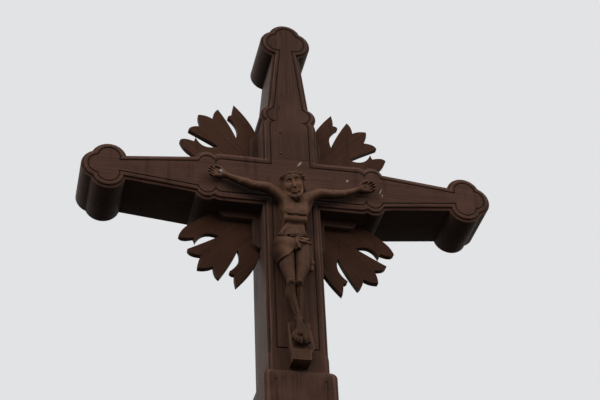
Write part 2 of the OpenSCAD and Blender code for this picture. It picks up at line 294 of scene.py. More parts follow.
def post_ring(ring):
    t, d = section(ring)
    right = [low_row(ring, y) for y in LOW_ROWS]
    right += [(half_w - t, half_w + joint_gap, half_d - d)]
    right += [(x, y, half_d - d) for x, y in arm_edge(t, top_reach)]
    return right + [(-x, y, z) for x, y, z in reversed(right[:-1])]


def section_points(rings, side):
    # Points of all outlines, with how worn the wood is at each and how dark with dirt and painted shade
    points, wear_and_highlight, grime_and_shade = [], [], []
    for i, ring in enumerate(rings):
        points += ring
        wear_and_highlight += [SECTION[i][2]] * len(ring)
        # Painted shade where the outer faces turn to the ground
        grime_and_shade += [SECTION[i][3] + 0.8 * (i <= FIRST_MOULDED) * down for down in underside(ring, side)]
    return points, wear_and_highlight, grime_and_shade


def at(ring, j):
    return ring * count + j % count


def cut_face(first, second, low, high):
    # Flat face across the timber, over the lines of the section from low to high
    lines = range(low, high + 1)
    return [at(i, first) for i in lines] + [at(i, second) for i in reversed(lines)]


last, low_n = len(SECTION) - 1, len(LOW_ROWS)
post_rings = [post_ring(i) for i in range(last + 1)]
count = len(post_rings[0])
points, wear_and_highlight, grime_and_shade = section_points(post_rings, -1)
faces = []
for i in range(last):
    for j in range(count - 1):
        if i < MID or j not in (low_n - 1, count - 1 - low_n):
            faces.append((at(i, j), at(i, j + 1), at(i + 1, j + 1), at(i + 1, j)))
# Panel above and below the crossbeam, the flat of the halving, and the two faces of its shoulders
faces.append([at(last, j) for j in range(low_n, count - low_n)])
faces.append([at(last, j) for j in list(range(low_n)) + list(range(count - low_n, count))])
faces.append([at(MID, low_n - 1), at(MID, low_n), at(MID, count - 1 - low_n), at(MID, count - low_n)])
faces.append(cut_face(low_n, count - 1 - low_n, MID, last))
faces.append(cut_face(low_n - 1, count - low_n, MID, last))
# Groove's lower end, the plain front under it, and the back
for i in range(GROOVE, last):
    faces.append((at(i, 0), at(i + 1, 0), at(i + 1, count - 1), at(i, count - 1)))
faces.append((at(BORDER, 0), at(GROOVE, 0), at(GROOVE, count - 1), at(BORDER, count - 1)))
faces.append([at(0, j) for j in range(count)])
# Thick lower part: rounded shoulder at the front and sides, then straight down to the ground.
# Each row is a height and the share of the thickness that is reached there.
loop = [at(i, 0) for i in range(BORDER + 1)] + [at(i, count - 1) for i in range(BORDER, -1, -1)]
before = loop
for y, out in [(-0.7504, 0.05), (-0.7530, 0.30), (-0.7575, 0.56), (-0.7640, 0.80), (-0.7715, 0.95),
               (-0.7770, 0.995), (-0.784, 1), (-1.2, 1), (-2.0, 1), (-2.9, 1), (-3.8, 1), (-4.6, 1)]:
    now = []
    for k in loop:
        x, _, z = points[k]
        now.append(len(points))
        points.append((x * (1 + out * step_out / half_w), y,
                       z * (1 + out * step_out / half_d) if z > 0 else z))
        wear_and_highlight.append(wear_and_highlight[k] if y < -0.78 else max(wear_and_highlight[k], 0.3 * (0.2 < out < 0.9)))
        grime_and_shade.append(0)
    for j in range(len(loop)):
        faces.append((before[j - 1], before[j], now[j], now[j - 1]))
    before = now
faces.append(before)
post = finish_mesh("upright_post_timber", [from_face(*p) for p in points], faces,
                   {"wear_and_highlight": wear_and_highlight, "grime_and_shade": grime_and_shade})


def stopped_flute(x):
    # Round-bottomed cutter for a flute with round ends
    work = bmesh.new()
    bmesh.ops.create_uvsphere(work, u_segments=24, v_segments=16, radius=flute_r)
    for v in work.verts:
        v.co += Vector((x, flute_depth - flute_r - half_d - step_out,
                        crossing + flute_top if v.co.z > 0 else flute_foot))
    mesh = bpy.data.meshes.new("flute")
    work.to_mesh(mesh)
    work.free()
    return in_scene("flute", mesh)


def bake(piece):
    # Gives a piece the plain mesh that its modifiers make
    bpy.context.view_layer.update()
    solid = bpy.data.meshes.new_from_object(piece.evaluated_get(bpy.context.evaluated_depsgraph_get()))
    piece.modifiers.clear()
    piece.data = solid
    return solid


for side in (-1, 1):
    cutter = stopped_flute(side * flute_x)
    step = post.modifiers.new("cut", "BOOLEAN")
    step.operation, step.solver, step.object = "DIFFERENCE", "EXACT", cutter
    bake(post)
    bpy.data.objects.remove(cutter)


def group(name, numbers, outputs):
    # Shader node group that takes a vector and named numbers, and gives named numbers
    tree = bpy.data.node_groups.new(name, "ShaderNodeTree")
    tree.interface.new_socket("Vector", in_out="INPUT", socket_type="NodeSocketVector")
    for label, value in numbers.items():
        tree.interface.new_socket(label, in_out="INPUT", socket_type="NodeSocketFloat").default_value = value
    for label in outputs:
        tree.interface.new_socket(label, in_out="OUTPUT", socket_type="NodeSocketFloat")
    return tree, tree.nodes.new("NodeGroupInput").outputs, tree.nodes.new("NodeGroupOutput")


def times(tree, a, b):
    return calc(tree, "MULTIPLY", a, b)


def vectors(tree, operation, a, b):
    return put(tree, "VectorMath", {0: a, 1: b}, operation=operation).outputs[0]


def noise(tree, vector, scale, detail, rough=0.5, out="Fac"):
    # Cloudy noise, drawn out along an axis where scale is three numbers
    if isinstance(scale, tuple):
        vector, scale = vectors(tree, "MULTIPLY", vector, scale), 1.0
    made = put(tree, "TexNoise", {"Vector": vector, "Scale": scale, "Detail": detail, "Roughness": rough})
    return made.outputs[out]


# Grain of sawn and planed softwood, its length along Z of the vector that comes in
grain, given, result = group("wood grain", {"Ring pitch": 30.0, "Splits": 1.0},
                             ("Fibre", "Rings", "Checks", "Relief"))
drift = noise(grain, given["Vector"], (3.0, 3.0, 0.9), 3.0, out="Color")
drift = vectors(grain, "MULTIPLY", vectors(grain, "SUBTRACT", drift, (0.5, 0.5, 0.5)), (0.09, 0.09, 0.0))
bent = vectors(grain, "ADD", given["Vector"], drift)
fibre = noise(grain, bent, (420, 420, 9), 3.0, 0.62)
tuft = noise(grain, bent, (120, 120, 2.4), 2.0)
heart = vectors(grain, "ADD", vectors(grain, "MULTIPLY", bent, (1, 1, 0.03)), (0.045, 0.16, 0))
rings = put(grain, "TexWave", {"Vector": heart, "Scale": given["Ring pitch"], "Distortion": 1.6,
                               "Detail": 2.0, "Detail Scale": 0.6},
            wave_type="RINGS", rings_direction="Z", wave_profile="SAW")
rings = rings.outputs["Fac"]
split = noise(grain, bent, (26, 26, 0.55), 5.0, 0.45)
line = ramp(grain, calc(grain, "ABSOLUTE", calc(grain, "SUBTRACT", split, 0.5)), 0.0035, 0.0005)
opened = ramp(grain, noise(grain, given["Vector"], (7, 7, 1.6), 1.0), 0.50, 0.58)
checks = times(grain, times(grain, line, opened), given["Splits"])
mixed = calc(grain, "MULTIPLY_ADD", tuft, 0.55, times(grain, fibre, 0.45))
relief = calc(grain, "MULTIPLY_ADD", checks, -1.6, calc(grain, "MULTIPLY_ADD", rings, 0.25, mixed))
fill(grain, result, {"Fibre": ramp(grain, mixed, 0.36, 0.64), "Rings": rings, "Checks": checks,
                     "Relief": relief})

# Weather: faded patches, water streaks that hang down, and specks of dust and algae
weather, given, result = group("weathering", {}, ("Fade", "Streaks", "Specks"))
patch = noise(weather, given["Vector"], 6.5, 5.0, 0.6)
drips = noise(weather, given["Vector"], (46, 46, 2.6), 3.0)
wide = noise(weather, given["Vector"], 11.0, 2.0)
dots = put(weather, "TexVoronoi", {"Vector": given["Vector"], "Scale": 190.0, "Randomness": 1.0}).outputs
chance = put(weather, "TexWhiteNoise", {"Vector": dots["Position"]}).outputs[0]
spot = times(weather, ramp(weather, dots["Distance"], 0.34, 0.16), ramp(weather, chance, 0.975, 0.99))
fill(weather, result, {
    "Fade": ramp(weather, patch, 0.42, 0.68),
    "Streaks": times(weather, ramp(weather, drips, 0.52, 0.66), ramp(weather, wide, 0.44, 0.6)),
    "Specks": times(weather, spot, ramp(weather, wide, 0.46, 0.58))})

# Pale marks, on the front only: bird droppings and scrapes, each a point in metres, a size in
# millimetres and a slant
front_only = (-0.080, -0.086)
marks, given, result = group("pale marks", {}, ("Mask",))
ragged = noise(marks, given["Vector"], 190.0, 3.0, 0.7)
mask = 0.0
for right, up, wide, tall, slant in (
        (0.033, 4.682, 4, 15, 38), (-0.033, 4.722, 3, 5, 0), (0.203, 4.628, 5.5, 6, 20),
        (0.322, 4.596, 2, 16, 24), (0.327, 4.579, 2.5, 7, 0), (-0.174, 4.693, 5, 3, 0),
        (-0.254, 4.598, 7, 6, 0)):
    place = put(marks, "Mapping", {
        "Vector": given["Vector"], "Location": (right, 0, up), "Rotation": (0, math.radians(slant), 0),
        "Scale": (wide / 1000, 1000.0, tall / 1000)}, vector_type="TEXTURE")
    far = put(marks, "VectorMath", {0: place.outputs[0]}, operation="LENGTH").outputs["Value"]
    mask = calc(marks, "MAXIMUM", mask, ramp(marks, calc(marks, "MULTIPLY_ADD", ragged, 1.6, far), 2.0, 1.0))
depth = put(marks, "SeparateXYZ", {0: given["Vector"]}).outputs["Y"]
fill(marks, result, {"Mask": times(marks, mask, ramp(marks, depth, *front_only))})

# Painted shadow of the figure's arms on the front of the beam under them. The arms rise
# by 0.31 for each unit that they reach out
arm_shadow, given, result = group("painted shadow under the arms", {}, ("Mask",))
parts = put(arm_shadow, "SeparateXYZ", {0: given["Vector"]}).outputs
out = calc(arm_shadow, "ABSOLUTE", parts["X"])
under = calc(arm_shadow, "SUBTRACT", calc(arm_shadow, "MULTIPLY_ADD", out, 0.31, crossing - 0.088), parts["Z"])
uneven = calc(arm_shadow, "SUBTRACT", noise(arm_shadow, given["Vector"], 22.0, 3.0), 0.5)
under = calc(arm_shadow, "MULTIPLY_ADD", uneven, 0.03, under)
mask = 1.0
for value, low, high in ((under, -0.008, 0.006), (under, 0.060, 0.030), (out, 0.255, 0.200),
                         (parts["Y"], -half_d - 0.0015, -half_d - 0.0003), (parts["Y"], *front_only)):
    mask = times(arm_shadow, mask, ramp(arm_shadow, value, low, high))
fill(arm_shadow, result, {"Mask": mask})


def wood(name, dark, light, turn=(0, 0, 0), shift=(0, 0, 0), rough=0.56, bump=0.5, ring_pitch=30.0,
         marked=False, sheen=0.06, splits=1.0):
    # Stained wood with its grain, weather, worn arrises and dirt in its hollows, which also carry painted
    # highlight, painted light and painted shade, and where marked a painted shadow under the figure's arms
    material, tree, skin = new_material(name)
    place = put(tree, "TexCoord").outputs["Object"]
    turned = put(tree, "Mapping", {"Vector": place, "Rotation": turn, "Location": shift}).outputs[0]
    fibres = put(tree, "Group", node_tree=grain)
    fill(tree, fibres, {"Vector": turned, "Ring pitch": ring_pitch, "Splits": splits})
    fibres = fibres.outputs
    aged = put(tree, "Group", {"Vector": place}, node_tree=weather).outputs
    rub, dirt_and_shade, faded_and_lit = [put(tree, "Attribute", attribute_name=key).outputs["Fac"]
                           for key in ("wear_and_highlight", "grime_and_shade", "faded_and_lit")]
    tone = calc(tree, "MULTIPLY_ADD", fibres["Rings"], 0.35, times(tree, fibres["Fibre"], 0.65))
    colour = blend_colour(tree, tone, (*dark, 1), (*light, 1))
    patchy = ramp(tree, calc(tree, "MULTIPLY_ADD", fibres["Fibre"], 0.5, rub), 0.75, 1.25)
    # Layers over the grain, the first at the bottom: mask, strength and colour
    layers = [
        (aged["Fade"], 0.55, [c * 1.22 + 0.002 for c in light]),
        (aged["Streaks"], 0.45, [c * 0.45 for c in dark]),
        # Worn arrises, and painted highlight where the figure faces up
        (patchy, 0.5, [c * 1.9 + 0.01 for c in light]),
        # Bleaching, and painted light on the figure's head and trunk
        (faded_and_lit, 0.485, [c * 2.3 for c in light]),
        # Dirt, and painted shade in hollows and where the wood faces down
        (dirt_and_shade, 0.75, [c * 0.22 for c in dark]),
        (fibres["Checks"], 0.85, (0.004, 0.003, 0.0025)),
        (aged["Specks"], 0.5, (0.13, 0.13, 0.11))]
    if marked:
        # Painted shadow under the figure's arms, and the pale marks
        arm_shadowed, white = [put(tree, "Group", {"Vector": place}, node_tree=kind).outputs["Mask"]
                        for kind in (arm_shadow, marks)]
        layers += [(arm_shadowed, 0.75, [c * 0.2 for c in dark]), (white, 0.55, (0.42, 0.39, 0.35))]
    for mask, strength, stain in layers:
        colour = blend_colour(tree, times(tree, mask, strength), colour, (*stain, 1))
    gloss = calc(tree, "MULTIPLY_ADD", fibres["Fibre"], -0.10, rough + 0.08)
    gloss = calc(tree, "MULTIPLY_ADD", dirt_and_shade, 0.2, gloss)
    raised = put(tree, "Bump", {"Height": fibres["Relief"], "Strength": bump, "Distance": 0.0009}).outputs[0]
    fill(tree, skin, {"Base Color": colour, "Roughness": gloss, "Normal": raised, "Specular IOR Level": 0.06,
                      "Sheen Weight": sheen, "Sheen Roughness": 0.6, "Sheen Tint": (1.0, 0.86, 0.76, 1)})
    return material


post_wood = wood("dark stained post", (0.0325, 0.0134, 0.0081), (0.058, 0.0264, 0.0164), shift=(0.3, 0.1, 0),
                 marked=True)
post.data.materials.clear()
post.data.materials.append(post_wood)
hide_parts("upright_post")
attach(post, "root")

# Crossbeam
# A timber of the same section with a trefoil at each end, halved over the front of the post.
# The moulding and the groove run on round the corners from one timber to the other.


def beam_ring(ring):
    t, d = section(ring)
    z = half_d - d
    if ring > MID:
        right = [(half_w - t, half_w - joint_gap, z), (half_w - t, half_w - t, z)]
    else:
        right = [(half_w, half_w - t, z)] * 2
    right += [(y, x, z) for x, y in arm_edge(t, side_reach)]
    right += [(x, -y, z) for x, y, z in reversed(right[:-1])]
    return right + [(-x, -y, z) for x, y, z in right]


beam_rings = [beam_ring(i) for i in range(last + 1)]
count = len(beam_rings[0])
half = count // 2
points, wear_and_highlight, grime_and_shade = section_points(beam_rings, 1)
faces = []
for i in range(last):
    for j in range(count):
        if j not in (half - 1, count - 1):
            faces.append((at(i, j), at(i, j + 1), at(i + 1, j + 1), at(i + 1, j)))
# Panel, the cheeks of the halving, the ends of the back, and the floor of the halving
faces.append([at(last, j) for j in range(count)])
for first, second in ((half - 1, half), (count - 1, 0)):
    faces.append(cut_face(first, second, MID, last))
for first, second in ((0, half - 1), (half, count - 1)):
    faces.append([at(0, j) for j in range(first, second + 1)])
    faces.append(cut_face(first, second, 0, MID))
faces.append([at(MID, 0), at(MID, half - 1), at(MID, half), at(MID, count - 1)])
beam = finish_mesh("crossbeam_timber", [from_face(*p) for p in points], faces, {"wear_and_highlight": wear_and_highlight, "grime_and_shade": grime_and_shade})
beam_wood = wood("dark stained beam", (0.039, 0.0161, 0.0099), (0.070, 0.0314, 0.0198),
                 turn=(0, math.radians(90), 0), shift=(0.2, 0.3, 0), marked=True)
beam.data.materials.append(beam_wood)
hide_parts("crossbeam")
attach(beam, "root")

# Ray fans
# Four boards sawn to a spray of pointed rays and stained a redder brown, one behind the front
# of the timbers in each corner. Their sawn edges are eased by hand.
fan_front, fan_t, lower_shade = half_d - 0.090, 0.022, 0.82


def bend(p, c, q, n):
    # Curve from p to q that leans towards c, without its last point
    return [tuple((1 - s) ** 2 * a + 2 * s * (1 - s) * b + s * s * e for a, b, e in zip(p, c, q))
            for s in [i / n for i in range(n)]]


# A ray beside the post with two tips, a slot, the broad middle ray, the other slot, and the ray
# beside the beam
fan_outline, tip = [(0, 0)], (0, 158)
for lean, end, n in (
        ((18, 222), (84, 293), 14), ((91, 265), (89, 245), 5), ((106, 243), (106, 233), 6),
        ((58, 195), (77, 143), 16), ((98, 198), (142, 265), 12), ((160, 252), (162, 219), 8),
        ((186, 234), (215, 231), 8), ((217, 208), (203, 179), 8), ((246, 178), (250, 157), 10),
        ((200, 130), (140, 94), 8), ((202, 70), (224, 127), 16), ((228, 110), (231, 108), 3),
        ((272, 122), (281, 105), 10), ((270, 72), (240, 52), 8), ((205, 20), (158, 0), 9)):
    fan_outline += bend(tip, lean, end, n)
    tip = end
fan_outline.append(tip)


def inset(outline, t):
    # Outline moved inwards, its sharp corners held back
    moved = []
    for i, p in enumerate(outline):
        a, b = Vector(outline[i - 1]), Vector(outline[(i + 1) % len(outline)])
        p = Vector(p)
        u, v = (p - a).normalized(), (b - p).normalized()
        n = Vector((u.y, -u.x)) + Vector((v.y, -v.x))
        n = n.normalized() / max(n.length / 2, 0.35)
        moved.append(tuple(p + n * t))
    return moved


def loft(rings, n):
    # Faces between loops of n points each, and the two end faces
    sides = [(i * n + j, i * n + (j + 1) % n, (i + 1) * n + (j + 1) % n, (i + 1) * n + j)
             for i in range(rings - 1) for j in range(n)]
    return sides + [list(range(n)), [(rings - 1) * n + j for j in range(n)]]


def eased_board(name, outline, back, front, mirror, ease=1.6):
    # Board cut to an outline in the corner's own frame (mm), with rounded arrises
    rings = [(2.6, back, 0), (0.7, back, 1), (0, back + 0.7, .6), (0, back + 2.2, 0),
             (0, front - ease - 1.5, 0), (0, front - ease, .6), (ease * 0.3, front - ease * 0.3, 1),
             (ease, front, .7), (ease + 1.6, front, 0)]
    points, wear_and_highlight = [], []
    for t, z, rub in rings:
        for x, y in inset(outline, t):
            points.append(from_face(mirror[0] * (half_w + x / 1000), mirror[1] * (half_w + y / 1000),
                                    z / 1000))
            wear_and_highlight.append(rub)
    return finish_mesh(name, points, loft(len(rings), len(outline)), {"wear_and_highlight": wear_and_highlight})


CORNERS = (("upper_left", (-1, 1)), ("upper_right", (1, 1)), ("lower_left", (-1, -1)),
           ("lower_right", (1, -1)))
for corner, mirror in CORNERS:
    fan = eased_board("ray_fan_" + corner, fan_outline, (fan_front - fan_t) * 1000, fan_front * 1000, mirror)
    # The rings of the grain lie along the middle ray. The lower fans are painted darker, as shade.
    turn = (0, -math.radians(45 * mirror[0] * mirror[1]), 0)
    dark, light = [tuple(c * (1.0 if mirror[1] > 0 else lower_shade) for c in colour)
                   for colour in ((0.030, 0.0103, 0.0046), (0.047, 0.0175, 0.0080))]
    shift = (mirror[0] * 0.7, 0.2, mirror[1] * 0.4)
    fan.data.materials.append(wood("red stained fan " + corner.replace("_", " "), dark, light, turn, shift,
                                   ring_pitch=22.0))
    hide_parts("fan_" + corner)
    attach(fan, "root")

# Cleats
# Two small battens in each corner, one on the post and one on the beam, carry the fan. Their
# outer ends are sawn off at a slant.
far, wide, thick, tip = 143, 27, 24, 9
slant_at = far - (wide - tip)
ON_POST = [(0, 0), (0, far), (tip, far), (wide, slant_at), (wide, 0)]
ON_BEAM = [(wide, 0), (wide, wide), (slant_at, wide), (far, tip), (far, 0)]
for corner, mirror in CORNERS:
    for kind, outline, turn in (("post", ON_POST, (0, 0, 0)), ("beam", ON_BEAM, (0, math.radians(90), 0))):
        back = fan_front * 1000
        cleat = eased_board(f"cleat_{corner}_{kind}_batten", outline, back, back + thick, mirror, 1.2)
        shift = (mirror[0] * 0.3, 0, mirror[1] * 0.9)
        stained = wood(f"stained cleat {corner} {kind}".replace("_", " "), (0.026, 0.0110, 0.0070),
                       (0.048, 0.0220, 0.0140), turn, shift)
        cleat.data.materials.append(stained)
        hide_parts(f"cleat_{corner}_{kind}")
        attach(cleat, "root")

# Footrest
# A sloping rest with its lower corners sawn off, on a block that carries it, both planed from
# the figure's wood.
rest_top, rest_run, top_out, foot_out, block_out = -576, 114, 9, 58, 60


def slope_z(y):
    # How far the rest stands out of the post at a height
    return top_out + (foot_out - top_out) * min(max((rest_top - y) / rest_run, 0), 1)


def planed(name, outline, rings):
    # Closed block from an outline in millimetres (right, up from the crossing). Each ring is an
    # inset and how far it stands out of the front. The arrises at the front are worn.
    points = [from_face(x / 1000, y / 1000, half_d + height(y) / 1000)
              for t, height in rings for x, y in inset(outline, t)]
    wear_and_highlight = [float(0 < i < 4) for i in range(len(rings)) for _ in outline]
    return finish_mesh(name, points, loft(len(rings), len(outline)), {"wear_and_highlight": wear_and_highlight}, 35)


REST = [(38, rest_top), (41, -692), (29, -712), (-32, -712), (-36, -692), (-35, rest_top)]
BLOCK = [(28, -704), (28, -740), (-33, -740), (-33, -704)]
rest = planed("footrest_board", REST, (
    (0, lambda y: 0), (0, lambda y: slope_z(y) - 1.6), (0.5, lambda y: slope_z(y) - 0.5),
    (1.7, slope_z), (3.4, slope_z)))
block = planed("footrest_block", BLOCK, (
    (0, lambda y: 0), (0, lambda y: block_out - 1.6), (0.5, lambda y: block_out - 0.5),
    (1.6, lambda y: block_out), (3.2, lambda y: block_out)))
figure_wood = wood("stained carved softwood", (0.038, 0.0180, 0.0107), (0.064, 0.0322, 0.0198),
                   shift=(0.11, 0.07, 0), rough=0.60, bump=0.35, ring_pitch=26.0, marked=True,
                   sheen=0.0, splits=0.0)
for piece in (rest, block):
    piece.data.materials.append(figure_wood)
    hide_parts("footrest")
    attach(piece, "root")

# Carved figure
# Carved in the round with its arms apart, flat at the back, and stained a lighter brown. Each
# form is laid on a grid of distances, in millimetres, and the skin of the whole is drawn from
# it. The face is a plain calm one.
PITCH, FAR = 1.25, 25.0
# Where the arms are sawn off, how far the body's tenons reach into them, and the foot's nail
LEFT_CUT, RIGHT_CUT, TENON = -62.0, 58.0, 2.5
FOOT_NAIL = (-3, -620)


def blank(low, high):
    axes = [np.arange(a, b + PITCH, PITCH, dtype=np.float32) for a, b in zip(low, high)]
    return axes, np.full([len(a) for a in axes], FAR, np.float32)


def coordinates(axes):
    return np.meshgrid(*axes, indexing="ij", sparse=True)


def turning(x, y, z):
    # Turn about X, then Y, then Z, in degrees
    first, second, third = [Matrix.Rotation(math.radians(a), 3, axis) for a, axis in zip((x, y, z), "XYZ")]
    return third @ second @ first


def turned_back(turn, p):
    # Coordinates in the frame of a form that has been turned
    m = np.array(turn, np.float32)
    return [m[0, i] * p[0] + m[1, i] * p[1] + m[2, i] * p[2] for i in range(3)]


def window(axes, at, turn, form, k):
    # The part of the grid that a form reaches, as slices, and its coordinates in the form's own frame
    balls = [(p[:3], p[3]) for p in form] if isinstance(form, list) else [(form[0], max(form[1]))]
    low, high = np.full(3, 1e9), np.full(3, -1e9)
    for p, r in balls:
        q = np.array(turn @ Vector(p)) + at
        low, high = np.minimum(low, q - r - k - 3), np.maximum(high, q + r + k + 3)
    cuts = [slice(int(np.searchsorted(a, l)), int(np.searchsorted(a, h))) for a, l, h in zip(axes, low, high)]
    return tuple(cuts), turned_back(turn, coordinates([a[c] - o for a, c, o in zip(axes, cuts, at)]))


def distance(form, p):
    x, y, z = p
    if isinstance(form, list):
        # A tapering limb through points, each with its radius
        best = None
        for (ax, ay, az, ra), (bx, by, bz, rb) in zip(form[:-1], form[1:]):
            u, v, w = bx - ax, by - ay, bz - az
            s = np.clip(((x - ax) * u + (y - ay) * v + (z - az) * w) / max(u * u + v * v + w * w, 1e-6), 0, 1)
            d = np.sqrt((x - ax - s * u) ** 2 + (y - ay - s * v) ** 2 + (z - az - s * w) ** 2)
            d = d - (ra + (rb - ra) * s)
            best = d if best is None else np.minimum(best, d)
        return best
    (cx, cy, cz), (rx, ry, rz) = form[:2]
    x, y, z = x - cx, y - cy, z - cz
    if len(form) > 2:
        x, y, z = turned_back(turning(*form[2]), (x, y, z))
    near = np.sqrt((x / rx) ** 2 + (y / ry) ** 2 + (z / rz) ** 2)
    steep = np.sqrt((x / rx ** 2) ** 2 + (y / ry ** 2) ** 2 + (z / rz ** 2) ** 2)
    return near * (near - 1) / np.maximum(steep, 1e-4)


def blended(a, b, k):
    h = np.clip(0.5 + 0.5 * (b - a) / k, 0, 1)
    return b + (a - b) * h - k * h * (1 - h)


def cut_off(d, p, point, normal, edge):
    # Takes away what lies beyond a plane, with a rounded edge
    beyond = sum((v - a) * n for v, a, n in zip(p, point, normal)) / math.hypot(*normal)
    return -blended(-beyond, -d, edge)


def carve(axes, field, forms, at=(0, 0, 0), turn=None):
    # Adds (+) and takes away (-) forms one after another, each blended over k millimetres and
    # cut off by planes with rounded edges, or combed into locks of a depth, a width and a sway
    turn, at = turn or Matrix.Identity(3), np.array(at, np.float32)
    for sign, k, form, *more in forms:
        cuts, p = window(axes, at, turn, form, k)
        part = field[cuts]
        if part.size == 0:
            continue
        d = distance(form, p)
        for extra in more:
            if isinstance(extra[0], tuple):
                d = cut_off(d, p, *extra)
            else:
                depth, pitch, sway = extra
                # How far round the head, as a length on the hair
                lie = np.arctan2(p[0], p[2] + 6) * 40
                d = d + depth * np.sin(lie * (2 * math.pi / pitch) + sway * np.sin(p[1] / 7.0))
        field[cuts] = blended(d, part, k) if sign == "+" else -blended(d, -part, k)


def both(forms):
    # The forms and after them their mirror images
    out = list(forms)
    for sign, k, form, *more in forms:
        if isinstance(form, list):
            form = [(-x, y, z, r) for x, y, z, r in form]
        else:
            (x, y, z), radii, *tilt = form
            form = ((-x, y, z), radii, *[(a, -b, -c) for a, b, c in tilt])
        out.append((sign, k, form, *more))
    return out


# Each form adds (+) or takes away (-), blended over so many millimetres. A list of points with
# radii is a limb. A point with three radii, and perhaps turns in degrees, is an egg.
TRUNK = [
    ("+", 6, ((0, -150, 0), (90, 100, 80)),
     ((0, -140, 57), (0, 0.08, 1), 7), ((-42, -140, 57), (-1, -0.1, 0.10), 12),
     ((41, 0, 57), (1, 0, 0.38), 12), ((46, -167, 0), (1, -0.25, 0), 8),
     ((0, -179, 60), (0, -1, 0), 5), ((0, -100, 54), (0, 1, 0.8), 16)),
    ("+", 2, ((-3, -188, 10), (70, 60, 60)),
     ((0, 0, 54), (0, 0, 1), 6), ((-43, 0, 55), (-1, 0, -0.05), 10),
     ((39, 0, 55), (1, 0, 0.05), 10), ((0, -197, 55), (0, -1, 0.8), 8)),
    ("+", 5, ((-3, -230, 0), (70, 60, 62)),
     ((0, 0, 45), (0, 0, 1), 9), ((-39, -204, 20), (-1, 0.05, 0.25), 10),
     ((33, -200, 20), (1, 0, 0.2), 10), ((0, -262, 0), (0, -1, 0), 6)),
    ("+", 12, ((-20, -284, 30), (54, 38, 25))),
    ("+", 8, ((-10, -252, 36), (27, 22, 20))),
    ("+", 12, [(-36, -86, 28, 19), (-18, -102, 34, 22), (18, -102, 34, 22), (46, -88, 28, 19)]),
    ("+", 8, [(42, -134, 22, 13), (49, -104, 24, 14)]),
    ("+", 6, ((-22, -158, 43), (24, 21.5, 19)), ((0, -181, 60), (0, -1, 0), 3)),
    ("+", 6, ((19, -158, 43), (24, 21.5, 19)), ((0, -181, 60), (0, -1, 0), 3)),
    ("-", 2.5, [(-44, -171, 54, 2.2), (-35, -178, 58, 2.7), (-24, -182.5, 59, 3), (-12, -181, 59, 2.8),
                (-3, -175, 57, 2.2), (8, -180, 59, 2.8), (20, -182.5, 59, 3), (32, -180, 58, 2.7),
                (42, -173, 54, 2.2)]),
    ("-", 7, [(-3, -118, 65, 4.5), (-2, -140, 64, 5), (-4, -166, 64.5, 4)]),
    ("+", 4, [(-50, -80, 40, 3), (-32, -90, 49, 3), (-12, -99, 56, 3)]),
    ("+", 4, [(50, -82, 40, 3), (30, -91, 49, 3), (8, -99, 56, 3)]),
    ("-", 5, ((-5, -212, 56), (30, 9, 13))),
    ("+", 5, [(-31, -214, 35, 7), (-43, -234, 37, 8), (-54, -254, 36, 9)]),
    ("+", 5, [(23, -216, 35, 6.5), (26, -236, 37, 7), (31, -252, 36, 8)]),
    ("-", 4, [(-24, -222, 49, 2), (-30, -238, 51, 3), (-34, -250, 52, 3)]),
    ("-", 4, [(15, -222, 49, 2), (18, -248, 51, 3)]),
    ("-", 2.2, ((-8, -241, 57), (3.8, 4.2, 7.5))),
    ("-", 5, [(-44, -258, 47, 3), (-32, -250, 54, 1.5)]),
    ("-", 5, [(24, -256, 46, 3), (12, -248, 54, 1.5)]),
]

NEAR_LEG = [
    ("+", 8, [(-40, -300, 32, 32), (-40, -345, 40, 29), (-38, -385, 48, 25), (-31, -436, 56, 17)]),
    ("+", 5, ((-30, -453, 59), (15.5, 18, 14))),
    ("+", 5, [(-30, -460, 54, 14.5), (-28, -492, 45, 15.5), (-16, -540, 42, 12.8), (-5, -586, 42, 10.5)]),
    ("+", 7, ((-31, -490, 38), (14, 28, 13), (0, 0, 10))),
    ("+", 3, ((-30, -454, 71), (8, 9, 4.5))),
    ("+", 4, [(-29, -472, 66, 3), (-24, -515, 59, 2.6), (-12, -562, 53, 2.2)]),
]
FAR_LEG = [
    ("+", 8, [(16, -300, 32, 31), (18, -345, 38, 28), (15, -385, 44, 23.5), (2, -434, 52, 15.5)]),
    ("+", 5, ((-1, -450, 54), (14, 17, 13.5))),
    ("+", 5, [(0, -456, 48, 13), (2, -496, 36, 14.5), (1, -545, 32, 12), (0, -590, 32, 10)]),
    ("+", 6, ((4, -496, 28), (13, 28, 12), (0, 0, -3))),
    ("+", 3, ((-1, -450, 66.5), (7, 8.5, 4.5))),
    ("+", 4, [(1, -470, 56, 3), (3, -515, 49, 2.6), (2, -560, 43, 2.2)]),
]
FEET = [
    ("+", 4, [(0, -586, 32, 11), (6, -622, 38, 13), (10, -655, 50, 12)]),
    ("+", 5, [(-4, -582, 43, 10.5), (-4, -604, 50, 12), (-5, -628, 57, 13), (-7, -650, 62, 12.5)]),
    ("+", 6, [(-5, -624, 54, 12), (-20, -648, 59, 10.5), (-27, -664, 63, 8)]),
    ("+", 6, [(-4, -624, 56, 12), (8, -650, 61, 11), (14, -668, 66, 9)]),
    ("+", 3, ((-14, -584, 42), (5, 7, 7))),
    ("+", 3, ((8, -581, 42), (5, 7, 7))),
]
# Five toes side by side, the great toe on the inner side, one of the other foot beside it
for x, y, r in ((-34, -670, 4.8), (-25.5, -675, 5.2), (-16, -679, 5.4), (-6, -682, 5.7)):
    FEET.append(("+", 1.0, [(x * 0.8, y + 22, 63, r), (x, y + 4, 71, r), (x, y - 4, 70, r * 0.95)]))
FEET.append(("+", 1.2, [(5, -658, 68, 7.5), (8, -676, 74, 7.4), (10, -687, 74, 6.8)]))
FEET.append(("+", 1.0, [(19, -668, 64, 6), (20.5, -680, 68, 5.6)]))

